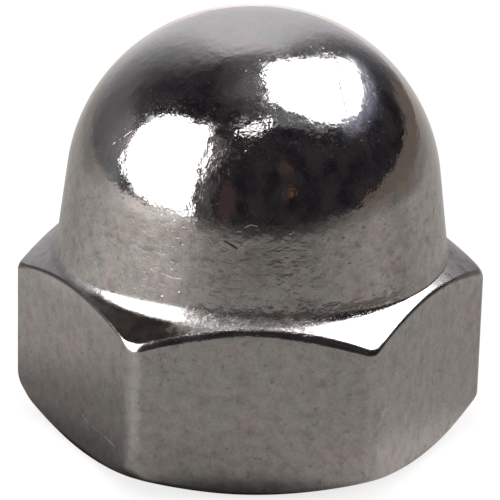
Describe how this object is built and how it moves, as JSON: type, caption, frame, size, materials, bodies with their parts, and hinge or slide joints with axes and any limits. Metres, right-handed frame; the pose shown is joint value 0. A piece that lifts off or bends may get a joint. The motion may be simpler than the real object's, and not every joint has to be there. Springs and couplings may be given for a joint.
{
  "type": "cap nut",
  "caption": "Domed hexagonal cap nut with a short neck under the dome and a blind threaded hole from below.",
  "frame": {"origin": "centre of the flat bearing face", "axes": "+Z along the thread's axis, out through the dome; two opposite flats of the hexagon are square to Y and two opposite corners lie on X"},
  "size_m": [0.0194, 0.017, 0.0177],
  "materials": {
    "plated_steel": "polished plating with fine pits, light scratches and faint tarnish"
  },
  "bodies": {
    "root": {"cap_nut": "plated_steel"}
  },
  "joints": []
}
